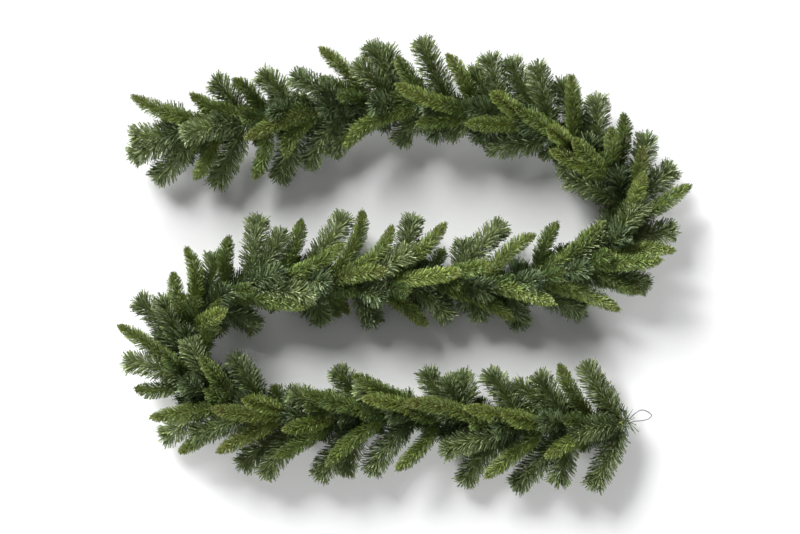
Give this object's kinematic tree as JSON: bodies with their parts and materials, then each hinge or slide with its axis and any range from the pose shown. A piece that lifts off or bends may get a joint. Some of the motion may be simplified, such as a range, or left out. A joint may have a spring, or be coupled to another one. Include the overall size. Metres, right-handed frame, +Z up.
{
  "type": "door garland",
  "caption": "Artificial conifer garland on a stiff core wire, dark and pale needle sprays by turns, bent in an S, with a wire hanging loop.",
  "frame": {"origin": "on the surface the garland lies on, in the middle of the whole garland's box", "axes": "+X to the right in the picture and along the three rows of the S, +Y towards the picture's top edge, +Z up from the surface"},
  "size_m": [1.0172, 0.8144, 0.1243],
  "materials": {
    "dark_needles": "soft moulded needles, dark green with a greyish bloom",
    "pale_needles": "soft moulded needles, yellow green with a darker rib",
    "wire": "two strands of painted steel wire, twisted together"
  },
  "bodies": {
    "root": {"core_wire": "wire", "hanging_loop": "wire", "dark_bunch_01": "dark_needles", "dark_bunch_02": "dark_needles", "dark_bunch_03": "dark_needles", "dark_bunch_04": "dark_needles", "dark_bunch_05": "dark_needles", "dark_bunch_06": "dark_needles", "dark_bunch_07": "dark_needles", "dark_bunch_08": "dark_needles", "dark_bunch_09": "dark_needles", "dark_bunch_10": "dark_needles", "dark_bunch_11": "dark_needles", "dark_bunch_12": "dark_needles", "dark_bunch_13": "dark_needles", "dark_bunch_14": "dark_needles", "dark_bunch_15": "dark_needles", "dark_bunch_16": "dark_needles", "dark_bunch_17": "dark_needles", "dark_bunch_18": "dark_needles", "dark_bunch_19": "dark_needles", "dark_bunch_20": "dark_needles", "dark_bunch_21": "dark_needles", "dark_bunch_22": "dark_needles", "dark_bunch_23": "dark_needles", "dark_bunch_24": "dark_needles", "dark_bunch_25": "dark_needles", "dark_bunch_26": "dark_needles", "dark_bunch_27": "dark_needles", "dark_bunch_28": "dark_needles", "dark_bunch_29": "dark_needles", "pale_bunch_01": "pale_needles", "pale_bunch_02": "pale_needles", "pale_bunch_03": "pale_needles", "pale_bunch_04": "pale_needles", "pale_bunch_05": "pale_needles", "pale_bunch_06": "pale_needles", "pale_bunch_07": "pale_needles", "pale_bunch_08": "pale_needles", "pale_bunch_09": "pale_needles", "pale_bunch_10": "pale_needles", "pale_bunch_11": "pale_needles", "pale_bunch_12": "pale_needles", "pale_bunch_13": "pale_needles", "pale_bunch_14": "pale_needles", "pale_bunch_15": "pale_needles", "pale_bunch_16": "pale_needles", "pale_bunch_17": "pale_needles", "pale_bunch_18": "pale_needles", "pale_bunch_19": "pale_needles", "pale_bunch_20": "pale_needles", "pale_bunch_21": "pale_needles", "pale_bunch_22": "pale_needles", "pale_bunch_23": "pale_needles", "pale_bunch_24": "pale_needles", "pale_bunch_25": "pale_needles", "pale_bunch_26": "pale_needles", "pale_bunch_27": "pale_needles", "pale_bunch_28": "pale_needles"}
  },
  "joints": []
}
